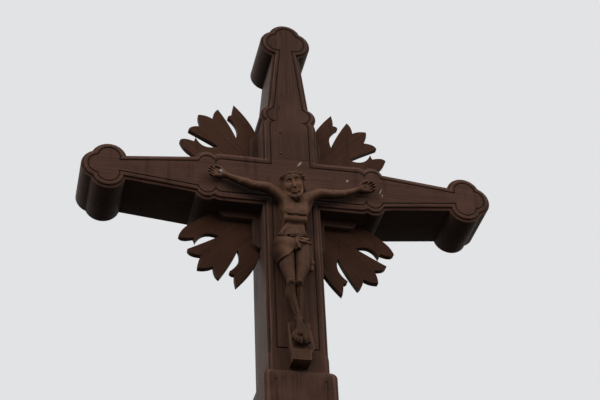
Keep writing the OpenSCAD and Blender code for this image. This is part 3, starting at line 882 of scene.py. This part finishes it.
CLOTH = [
    ("+", 8, ((-44, -300, 36), (40, 44, 38), (0, 0, 8))),
    ("+", 10, ((-52, -334, 34), (30, 36, 36), (0, 0, 14))),
    ("+", 8, ((-22, -298, 46), (26, 34, 27))),
    ("+", 8, ((20, -286, 36), (34, 28, 33))),
    ("+", 6, [(-8, -284, 62, 9), (-2, -306, 62, 8), (4, -326, 58, 7)]),
]
# Where the drape ends below, from the knot down and round to the outer side of the near thigh
HEM = [((-9, -300, 60), (1.0, 0.02, 0.0)), ((-13, -322, 60), (0.82, -0.57, 0.0)),
       ((-39, -359, 60), (0.46, -0.89, 0.1))]
TIED = [
    ("+", 2, [(-4, -281, 69, 5), (14, -283, 66, 6), (32, -278, 55, 6), (46, -268, 34, 5)]),
    ("+", 2, [(-6, -288, 69, 4), (10, -296, 68, 6), (28, -292, 60, 6), (44, -282, 42, 6), (50, -274, 26, 5)]),
    ("+", 2, [(-9, -286, 70, 5), (-6, -304, 70, 6), (1, -318, 67, 6.5)]),
    ("-", 2, ((16, -303, 72), (5, 4.5, 8), (0, 0, -30))),
    ("-", 2, ((42, -276, 55), (5, 5, 8))),
    ("+", 2, [(44, -290, 34, 7), (49, -314, 25, 8), (50, -336, 21, 7.5), (52, -352, 20, 5)]),
    ("-", 1, [(54, -296, 38, 1.6), (57, -320, 29, 1.8), (57, -340, 26, 1.6)]),
    ("+", 2, ((55, -343, 19), (7.5, 13, 7), (0, 0, 16))),
    ("+", 2, ((52, -367, 18), (8, 14, 7), (0, 0, -10))),
    ("-", 1, [(50, -352, 27, 1.5), (55, -372, 26, 1.8), (54, -382, 24, 1.6)]),
    ("+", 1.5, ((-21, -276, 72), (8.5, 6.5, 6), (0, 0, 8))),
    ("+", 1.5, ((-33, -272, 68), (6, 4.2, 4.5), (0, 0, 8))),
    ("+", 1.5, ((-9, -275, 71), (6, 4.2, 4.5), (0, 0, -10))),
]


def grown(forms, k, tall):
    # The same forms, larger by k about the centre of their own frame, and taller
    out = []
    for sign, blend, form, *more in forms:
        if isinstance(form, list):
            form = [(x * k, y * tall, z * k, r * k) for x, y, z, r in form]
        else:
            (x, y, z), (a, b, c), *tilt = form
            form = ((x * k, y * tall, z * k), (a * k, b * tall, c * k), *tilt)
        out.append((sign, blend * k, form, *more))
    return out


# The head's middle and turn, how much it is enlarged and stretched, and how far round it the wood is painted
# lighter, as painted light
HEAD_AT, HEAD_TURN, HEAD_K, HEAD_TALL, HEAD_LIGHTENED = (-13, -51, 61), turning(22, -12, 15), 1.08, 1.28, 66
SKULL = [
    ("+", 6, ((0, 2, -6), (33, 26, 36))),
    ("+", 7, ((0, -6, 6), (29.5, 33, 30))),
    ("+", 6, ((0, -33, 17), (14, 10, 14))),
    ("+", 5, [(-17, 8.5, 28.5, 4), (-8, 9.5, 33, 4), (8, 9.5, 33, 4), (17, 8.5, 28.5, 4)]),
] + both([
    ("+", 6, ((16, -10, 22), (10, 10, 9))),
    ("-", 5, ((11.5, 1.5, 36), (8.2, 5.8, 7.2))),
    ("+", 1.6, ((11.2, 1.2, 24.8), (7.4, 5.6, 6.4))),
    ("-", 1.2, [(4.8, -0.8, 31.4, 0.9), (8.0, -2.4, 32.2, 1.0), (12.0, -2.9, 31.9, 1.0),
                (17.2, -1.0, 28.8, 0.9)]),
    ("-", 1.6, [(5.0, 3.6, 32.4, 1.0), (10.5, 7.0, 32.8, 1.2), (17.5, 3.4, 29.4, 1.0)]),
    ("+", 2, [(5.6, 10.2, 34.2, 1.4), (12, 12.4, 33.6, 1.7), (19, 9.4, 29.0, 1.1)]),
    ("-", 4, [(8.5, -15, 35, 1.5), (12, -24, 31, 1.5)]),
]) + [
    ("+", 3, [(0, 8, 33, 3.0), (0, -4, 37.5, 3.2), (0, -15, 41.5, 4.3)]),
    *both([("+", 2, ((4.6, -17, 37.5), (3.1, 3.0, 3.6)))]),
    *both([("-", 1, ((2.6, -20, 38.5), (1.4, 1.8, 2.6)))]),
    ("+", 3, ((0, -26, 31), (11, 7, 6))),
    ("+", 1.5, [(-7.5, -26.8, 34.4, 1.3), (-3, -25.0, 36.8, 1.9), (0, -25.6, 37.2, 1.7),
                (3, -25.0, 36.8, 1.9), (7.5, -26.8, 34.4, 1.3)]),
    ("+", 1.5, [(-6.5, -28.8, 34.6, 1.3), (0, -30.2, 36.6, 2.5), (6.5, -28.8, 34.6, 1.3)]),
    ("-", 0.9, [(-8.5, -27.4, 35.2, 0.7), (0, -27.6, 39.0, 0.9), (8.5, -27.4, 35.2, 0.7)]),
]
LOCKS = (0.9, 5.0, 1.6)
HAIR = both([
    ("+", 2, [(2.0, -21.5, 36.5, 1.8), (7.5, -23.2, 35.2, 2.3), (13.0, -28.5, 30.0, 2.2),
              (15.0, -34.0, 26.0, 1.6)], (0.35, 2.6, 0.6)),
    ("+", 3, [(28.5, -2, 2, 2.6), (27.5, -16, 10, 3.4), (22.5, -28, 17, 4.8), (13, -38, 23, 6.2),
              (4.5, -43, 26, 6.8)], (0.55, 3.4, 1.4)),
    ("+", 3, [(4.0, -42, 26, 6.4), (4.8, -49, 26, 4.8), (3.6, -54, 25, 2.4)], (0.5, 3.0, 1.2)),
    ("+", 4, [(14, 22, 2, 7), (27, 16, 4, 8), (34, 4, -3, 8.5), (36.5, -10, -9, 8.4), (36, -22, -15, 7.6),
              (33, -34, -21, 5)], LOCKS),
    ("+", 3, [(29, 12, -8, 8.5), (34, -4, -18, 9), (34, -20, -25, 8.6), (30, -36, -30, 6)], LOCKS),
    ("+", 2, [(24, 20, 12, 3.6), (30.5, 10, 10, 4.2), (33, -2, 5, 4.2), (34.5, -14, 0, 4.0),
              (35.5, -26, -6, 3.0)], (0.5, 3.6, 1.6)),
]) + [
    ("+", 4, ((0, 2, -12), (37, 26, 35)), LOCKS),
    ("+", 4, [(0, -20, -28, 21), (0, -42, -28, 13)], LOCKS),
]
NECK = [
    ("+", 8, [(-4, -112, 38, 19), (-9, -86, 46, 18)]),
    ("+", 4, [(-30, -98, 48, 4), (-18, -86, 58, 4)]),
    ("+", 4, [(22, -98, 48, 4), (10, -88, 58, 4)]),
]


def hand_forms(wrist, heading, spread, curl, thumb_up, size):
    # Palm, four fingers and a thumb: heading is the hand's angle, curl bends the fingers outwards
    c, s = math.cos(math.radians(heading)) * size, math.sin(math.radians(heading)) * size

    def at_hand(u, v, w):
        return wrist[0] + u * c - v * s, wrist[1] + u * s + v * c, wrist[2] + w * size

    forms = [("+", 5, [(*at_hand(0, 0, 0), 9.5 * size), (*at_hand(12, 0, 0), 11.5 * size)]),
             ("+", 5, [(*at_hand(14, 7, 0), 8.5 * size), (*at_hand(28, 9.5, 1), 7.5 * size)]),
             ("+", 5, [(*at_hand(14, -6, 0), 8.5 * size), (*at_hand(28, -9.5, 1), 7.5 * size)]),
             ("+", 4, [(*at_hand(20, 0, 0), 8 * size), (*at_hand(30, 0, 1), 7.5 * size)])]
    for i, length in enumerate((22, 25, 24, 19)):
        v = (12.6 - 8.4 * i) * thumb_up
        fan = math.radians(spread * (1.5 - i) * thumb_up)
        u, height, tilt = 31.0, 1.5, math.radians(curl * 0.4)
        chain = [(*at_hand(u, v, height), 4.9 * size)]
        for share, radius in ((0.42, 4.6), (0.32, 4.3), (0.26, 3.6)):
            step = length * share
            u += step * math.cos(tilt) * math.cos(fan)
            v += step * math.cos(tilt) * math.sin(fan)
            height += step * math.sin(tilt)
            tilt += math.radians(curl)
            chain.append((*at_hand(u, v, height), radius * size))
        forms.append(("+", 0.9, chain))
    forms.append(("+", 3, [(*at_hand(8, 10 * thumb_up, 3), 6.5 * size),
                           (*at_hand(20, 18 * thumb_up, 7), 5.4 * size),
                           (*at_hand(33, 19 * thumb_up, 10), 4.4 * size)]))
    forms.append(("-", 3, (at_hand(20, 0, 12), (8 * size, 8 * size, 4.5 * size))))
    return forms


LEFT_SHOULDER = [
    ("+", 12, [(-36, -97, 30, 23), (-58, -79, 31, 20), (-86, -63, 31, 18), (-115, -53, 29, 17),
               (-142, -52, 28, 15)]),
    ("+", 8, [(-35, -138, 24, 11), (-37, -104, 26, 13)]),
]
LEFT_ARM = [
    ("+", 12, ((-102, -58, 35), (26, 12, 12), (0, 0, 10))),
    ("+", 8, [(-142, -52, 28, 15), (-168, -43, 27, 15), (-203, -28, 23, 12.5), (-234, -15, 20, 10)]),
    ("+", 8, ((-172, -39, 30), (20, 8, 8), (0, 0, 26))),
    ("-", 5, [(-136, -44, 45, 2), (-144, -54, 45, 2)]),
] + hand_forms((-237, -14, 19), 170, 3, 22, -1, 1.15)
RIGHT_SHOULDER = [
    ("+", 12, [(34, -99, 30, 23), (56, -82, 31, 20), (80, -70, 31, 18), (108, -61, 29, 17),
               (136, -59, 28, 15)]),
    ("+", 8, [(42, -134, 22, 13), (50, -106, 24, 14)]),
]
RIGHT_ARM = [
    ("+", 12, ((100, -63, 35), (26, 12, 12), (0, 0, -8))),
    ("+", 8, [(136, -59, 28, 15), (160, -56, 27, 15), (196, -41, 23, 12.5), (230, -24, 20, 10)]),
    ("+", 8, ((164, -52, 30), (20, 8, 8), (0, 0, -22))),
    ("-", 5, [(130, -50, 45, 2), (138, -61, 45, 2)]),
] + hand_forms((233, -22, 19), 17, 3, 30, 1, 1.2)


def march(axes, field, start, step, reach=120, stride=0.5):
    # First point of the carved surface along a line that comes from outside
    start, step = np.array(start, float), np.array(step, float)
    step /= np.linalg.norm(step)
    for i in range(int(reach / stride)):
        p = start + step * (i * stride)
        k = tuple(int(round((v - a[0]) / PITCH)) for v, a in zip(p, axes))
        if all(0 <= j < len(a) for j, a in zip(k, axes)) and field[k] < 0:
            return p
    return None


def hollows(field, reach):
    # How much more wood than air there is round each point of the grid
    solid = (field < 0).astype(np.float32)
    for axis in range(3):
        total = np.cumsum(solid, axis=axis, dtype=np.float32)
        n = field.shape[axis]
        high = np.take(total, np.minimum(np.arange(n) + reach, n - 1), axis=axis)
        low = np.take(total, np.maximum(np.arange(n) - reach - 1, 0), axis=axis)
        solid = (high - low) / (2 * reach + 1)
    return solid


def sample(values, axes, points):
    cells = [np.clip(np.round((points[:, i] - a[0]) / PITCH).astype(int), 0, len(a) - 1)
             for i, a in enumerate(axes)]
    return values[tuple(cells)]


def rise(value, width=1.0):
    # From 0 where the value is 0 to 1 where it is as large as the width
    return np.clip(value / width, 0, 1)


def face_out(mesh, merge=0.0):
    # Joins points that lie within merge of each other and turns the faces outwards
    work = bmesh.new()
    work.from_mesh(mesh)
    if merge:
        bmesh.ops.remove_doubles(work, verts=work.verts, dist=merge)
    bmesh.ops.recalc_face_normals(work, faces=work.faces)
    work.to_mesh(mesh)
    work.free()


def skin_of(name, axes, field, fading_and_light, share):
    # Draws the carved surface, keeps how worn, bleached and dirty each point is, with painted
    # light where it faces up and painted shade in its hollows and where it faces down, and thins
    # its faces to a share of them
    grid = openvdb.FloatGrid(FAR)
    grid.copyFromArray(np.clip(field, -FAR, FAR))
    spots, _, quads = grid.convertToPolygons(isovalue=0.0, adaptivity=0.0)
    where = spots * PITCH + np.array([a[0] for a in axes])
    x, y, z = where.T
    fine, broad = [sample(hollows(field, reach), axes, where) for reach in (3, 9)]
    aside, above, ahead = [sample(field, axes, where + step) - sample(field, axes, where - step)
                           for step in 2.5 * np.eye(3)]
    upward = above / np.maximum(np.sqrt(above ** 2 + ahead ** 2 + aside ** 2), 1e-3)
    # Rubbed arrises, and painted highlight on the parts that face up
    wear_and_highlight = rise((0.46 - fine) * 6.0) * 0.8 + np.clip(upward * 0.8, 0, 0.6)
    # Dirt and painted shade in the hollows, and painted shade on the parts that face down
    grime_and_shade = (rise((fine - 0.50) * 3.4) * 0.75 + rise((broad - 0.50) * 2.4) * 0.6
             + np.clip(-upward * 1.4, 0, 0.95))
    # Round the head most of the dirt and painted shade is taken away, as painted light
    grime_and_shade *= 1 - 0.92 * rise(HEAD_LIGHTENED - np.linalg.norm(where - np.array(HEAD_AT), axis=1), 12)
    # The feet are darker, and the outer side of the drape, which faces left, is painted darker as shade
    left_side_shade = np.clip(-aside / np.maximum(np.abs(above) + np.abs(ahead) + np.abs(aside), 1e-3) * 1.5, 0, 0.85)
    grime_and_shade += 0.35 * rise(-585 - y, 10) + left_side_shade * (y < -262) * (y > -375) * (x < -40)
    mesh = bpy.data.meshes.new(name)
    placed = np.column_stack([x / 1000, -(half_d + z / 1000), crossing + y / 1000])
    mesh.from_pydata(placed.tolist(), [], quads.tolist())
    store(mesh, {"wear_and_highlight": wear_and_highlight, "grime_and_shade": np.clip(grime_and_shade, 0, 1), "faded_and_lit": sample(fading_and_light, axes, where)})
    piece = in_scene(name, mesh)
    smoothing = piece.modifiers.new("soften", "SMOOTH")
    smoothing.factor, smoothing.iterations = 0.5, 2
    piece.modifiers.new("thin", "DECIMATE").ratio = share
    solid = bake(piece)
    face_out(solid)
    solid.polygons.foreach_set("use_smooth", [True] * len(solid.polygons))
    solid.materials.clear()
    solid.materials.append(figure_wood)
    return piece


axes, body = blank((-112, -700, -3), (84, 30, 132))
near_leg, far_leg = body.copy(), body.copy()
carve(axes, near_leg, NEAR_LEG)
carve(axes, far_leg, FAR_LEG)
# The loincloth lies over the legs: a drape over the near thigh and a tied end over the other
drape = blended(near_leg, far_leg, 30) - 4.5
carve(axes, drape, CLOTH)
p = coordinates(axes)
apron = drape
for point, normal in HEM:
    apron = cut_off(apron, p, point, normal, 3)
short = cut_off(cut_off(drape, p, (14, -305, 60), (0.70, -0.71, 0.15), 3), p, (-11, 0, 0), (-1, 0, 0), 1)
drape = cut_off(blended(apron, short, 0.8), p, (-14, -265, 40), (-0.05, 1.0, 0.5), 2)
carve(axes, drape, TIED)
carve(axes, body, TRUNK + NECK + LEFT_SHOULDER + RIGHT_SHOULDER)
body = blended(blended(near_leg, far_leg, 1.5), body, 6)
carve(axes, body, FEET)
body = blended(drape, body, 1.2)
# Rain and sun have bleached the head, the trunk and the cloth more than the legs, and these are also painted
# lighter, as painted light
x, y, z = p
fading_and_light = np.clip((y + 262) / 14, 0.22 * (y > -570), 1 - 0.35 * rise(-200 - y, 10)) * np.ones_like(body)
fading_and_light = np.maximum(fading_and_light, rise(np.abs(x + 6) - 38, 14) * (y > -120))
fading_and_light = np.maximum(fading_and_light, rise(2.5 - drape))
from_head = np.sqrt(sum((v - p) ** 2 for v, p in zip((x, y, z), HEAD_AT)))
# Painted light round the head, strongest on the lower face below the crown's shade
lit_lower_face = rise(-58 - y, 10) * rise(z - 52, 10)
fading_and_light = (fading_and_light + (0.25 + 0.85 * lit_lower_face) * rise(HEAD_LIGHTENED - from_head, 12)).astype(np.float32)
# Cord round the hips in two turns, with the carver's groove above, between and below them
CORDS = ((-3.6, "-", 1.5), (3.0, "-", 1.4), (9.4, "-", 1.5), (0.0, "+", 2.1), (6.0, "+", 2.1))
cord_y, cord_dip, cord_tilt, cord_steps = -242, 25, 3, 60
turns = []
for drop, sign, radius in CORDS:
    turn = []
    for i in range(cord_steps + 1):
        a = math.radians(-100 + 200 * i / cord_steps)
        aim = (math.sin(a), 0, math.cos(a))
        level = cord_y - drop - cord_dip * math.cos(a) + cord_tilt * math.sin(a)
        p = march(axes, body, (-16 + 100 * aim[0], level, 30 + 100 * aim[2]), (-aim[0], 0, -aim[2]))
        if p is not None and p[2] > 1:
            turn.append((p[0] + aim[0] * 0.8, p[1], p[2] + aim[2] * 0.8, radius))
    turns.append((sign, turn))
for sign, turn in turns:
    for a, b in zip(turn, turn[1:]):
        if math.dist(a, b) < 9:
            carve(axes, body, [(sign, 0.8, [a, b])])
for forms in (SKULL, HAIR):
    carve(axes, body, grown(forms, HEAD_K, HEAD_TALL), HEAD_AT, HEAD_TURN)
body = np.maximum(body, -z)
# The arms are sawn off square at the shoulders; the tenon of the body reaches a little into them
near_arm = (y < -20) & (y > -150)
sawn = np.maximum(LEFT_CUT - TENON - x, x - RIGHT_CUT - TENON)
body = np.where(near_arm, np.maximum(body, sawn), body)
foot_top = march(axes, body, (*FOOT_NAIL, 140), (0, 0, -1), 140)[2]
figure = skin_of("figure_body", axes, body, fading_and_light, share=0.55)
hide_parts("corpus_body")
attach(figure, "root")

palms = []
for side, forms, low, high, palm in (
        ("left", LEFT_SHOULDER + LEFT_ARM, (-316, -150, -3), (-40, 50, 72), (-260, -10)),
        ("right", RIGHT_SHOULDER + RIGHT_ARM, (30, -150, -3), (318, 50, 72), (258, -13))):
    axes, field = blank(low, high)
    carve(axes, field, TRUNK + NECK + forms)
    x, y, z = coordinates(axes)
    field = np.maximum(np.maximum(field, -z), x - LEFT_CUT if side == "left" else RIGHT_CUT - x)
    palms.append((*palm, march(axes, field, (*palm, 140), (0, 0, -1), 140)[2]))
    # The arms are lighter, bleached and painted light, except towards the right hand
    fading_and_light = 1 - 0.6 * rise(x - 215, 20) * np.ones_like(field)
    arm = skin_of(f"figure_{side}_arm", axes, field.astype(np.float32), fading_and_light, share=0.7)
    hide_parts(f"corpus_{side}_arm")
    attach(arm, "root")

# Crown of thorns
# Two pliant stems twisted round each other into a ring, with thorns cut on them, set on the
# hair and pushed back so that it stands higher over the brow.
crown = bpy.data.node_groups.new("twisted crown", "GeometryNodeTree")
crown.interface.new_socket("Geometry", in_out="OUTPUT", socket_type="NodeSocketGeometry")
for label, kind, value in (("Ring radius", "Float", 0.0405), ("Stem radius", "Float", 0.0027),
                           ("Twists", "Float", 6.0), ("Thorns", "Int", 26),
                           ("Wood", "Material", None)):
    socket = crown.interface.new_socket(label, in_out="INPUT", socket_type="NodeSocket" + kind)
    if value is not None:
        socket.default_value = value
entry = crown.nodes.new("NodeGroupInput").outputs
whole = put(crown, "GeometryNodeJoinGeometry")
stems = []
for phase, seed in ((0.0, 7), (math.pi, 16)):
    ring = put(crown, "GeometryNodeCurvePrimitiveCircle", {"Resolution": 160, "Radius": 1.0})
    turn = times(crown, put(crown, "GeometryNodeSplineParameter").outputs["Factor"], 2 * math.pi)
    twist = calc(crown, "MULTIPLY_ADD", turn, entry["Twists"], phase)
    away = times(crown, entry["Stem radius"], 1.05)
    radius = calc(crown, "MULTIPLY_ADD", calc(crown, "COSINE", twist), away, entry["Ring radius"])
    lift = times(crown, calc(crown, "SINE", twist), times(crown, away, 1.5))
    spot = put(crown, "CombineXYZ", {0: times(crown, calc(crown, "COSINE", turn), radius),
                                     1: times(crown, calc(crown, "SINE", turn), radius), 2: lift})
    wound = put(crown, "GeometryNodeSetPosition", {"Geometry": ring.outputs[0], "Position": spot.outputs[0]})
    bark = put(crown, "GeometryNodeCurvePrimitiveCircle", {"Resolution": 10, "Radius": entry["Stem radius"]})
    stem = put(crown, "GeometryNodeCurveToMesh",
               {"Curve": wound.outputs[0], "Profile Curve": bark.outputs[0]})
    every = put(crown, "GeometryNodeCurveToPoints", {"Curve": wound.outputs[0], "Count": entry["Thorns"]},
                mode="COUNT")
    cone = put(crown, "GeometryNodeMeshCone", {"Vertices": 6, "Radius Top": 0.0002, "Radius Bottom": 0.0015,
                                               "Depth": 0.0075})
    lean = put(crown, "FunctionNodeRandomValue", data_type="FLOAT_VECTOR")
    fill(crown, lean, {0: (-1.2, -1.2, 0.0), 1: (1.2, 1.2, 6.28), "Seed": seed})
    thorn = put(crown, "GeometryNodeInstanceOnPoints", {
        "Points": every.outputs[0], "Instance": cone.outputs[0], "Rotation": lean.outputs[0]})
    stems += [stem.outputs[0], thorn.outputs[0]]
for part in stems:
    crown.links.new(part, whole.inputs[0])
real = put(crown, "GeometryNodeRealizeInstances", {0: whole.outputs[0]})
smooth = put(crown, "GeometryNodeSetShadeSmooth", {"Geometry": real.outputs[0]})
stained = put(crown, "GeometryNodeSetMaterial", {"Geometry": smooth.outputs[0], "Material": entry["Wood"]})
crown.links.new(stained.outputs[0], crown.nodes.new("NodeGroupOutput").inputs[0])
wreath = in_scene("crown_of_twisted_stems", bpy.data.meshes.new("crown"))
made = wreath.modifiers.new("crown", "NODES")
made.node_group = crown
for item in crown.interface.items_tree:
    if item.in_out == "INPUT" and item.name == "Wood":
        made[item.identifier] = figure_wood
solid = bake(wreath)
# The ring is laid level, tilted by a few degrees, moved onto the head and turned to the scene
crown_at, crown_tilt = (-0.0135, -0.041, 0.071), turning(2, 0, 6).to_4x4()
laid = Matrix.Translation(crown_at) @ crown_tilt @ Matrix.Rotation(math.radians(-90), 4, "X")
to_scene = Matrix(((1, 0, 0, 0), (0, 0, -1, -half_d), (0, 1, 0, crossing), (0, 0, 0, 1)))
solid.transform(to_scene @ laid)
face_out(solid, 1e-6)
# The crown takes the full bleach and painted light
store(solid, {"faded_and_lit": np.ones(len(solid.vertices))})
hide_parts("crown_of_thorns")
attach(wreath, "root")

# Nails
# Forged iron nails with low faceted heads, rusted black, through the hands and the feet, and
# two that are left where a title board was once fixed.
iron, tree, skin = new_material("rusted forged iron")
place = put(tree, "TexCoord").outputs["Object"]
scale, rust = noise(tree, place, 420.0, 4.0, 0.65), noise(tree, place, 160.0, 2.0)
tone = blend_colour(tree, ramp(tree, rust, 0.4, 0.62), (0.008, 0.0065, 0.006, 1), (0.036, 0.015, 0.008, 1))
tone = blend_colour(tree, ramp(tree, scale, 0.5, 0.7), tone, (0.016, 0.011, 0.009, 1))
raised = put(tree, "Bump", {"Height": scale, "Strength": 0.6, "Distance": 0.0006}).outputs[0]
fill(tree, skin, {"Base Color": tone, "Roughness": ramp(tree, scale, 0.3, 0.7, 0.55, 0.85),
                  "Specular IOR Level": 0.2, "Normal": raised})


def forged_nail(spots, name, *nodes):
    # Square shank and hammered head at each spot: right, up, where it starts, how far it stands
    # out of the front, and how wide its head is
    work = bmesh.new()
    for x, y, start, out, wide in spots:
        for sides, low_r, low, high_r, high in (
                (4, 2.3, start, 2.3, out - 1.0), (9, wide * 0.46, out - 1.2, wide * 0.5, out + 0.2),
                (9, wide * 0.5, out + 0.2, wide * 0.24, out + 2.3)):
            turns = [2 * math.pi * i / sides + 0.4 for i in range(sides)]
            foot, head = [
                [work.verts.new(from_face((x + r * math.cos(a)) / 1000, (y + r * math.sin(a)) / 1000,
                                          half_d + z / 1000)) for a in turns]
                for r, z in ((low_r, low), (high_r, high))]
            for i in range(sides):
                work.faces.new((foot[i - 1], foot[i], head[i], head[i - 1]))
            work.faces.new(foot)
            work.faces.new(head)
    mesh = bpy.data.meshes.new(name)
    work.to_mesh(mesh)
    work.free()
    face_out(mesh)
    mesh.materials.append(iron)
    piece = in_scene(name, mesh)
    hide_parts(*nodes)
    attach(piece, "root")


for name, (x, y, top) in (("left_hand_nail", palms[0]), ("right_hand_nail", palms[1]),
                          ("foot_nail", (*FOOT_NAIL, foot_top))):
    forged_nail([(x, y, 0, float(top), 9)], f"forged_{name}", name)
forged_nail([(-33, 213, -20, 1, 8), (-33, 120, -20, 1, 8)], "nails_of_title_board", "title_board_nails")
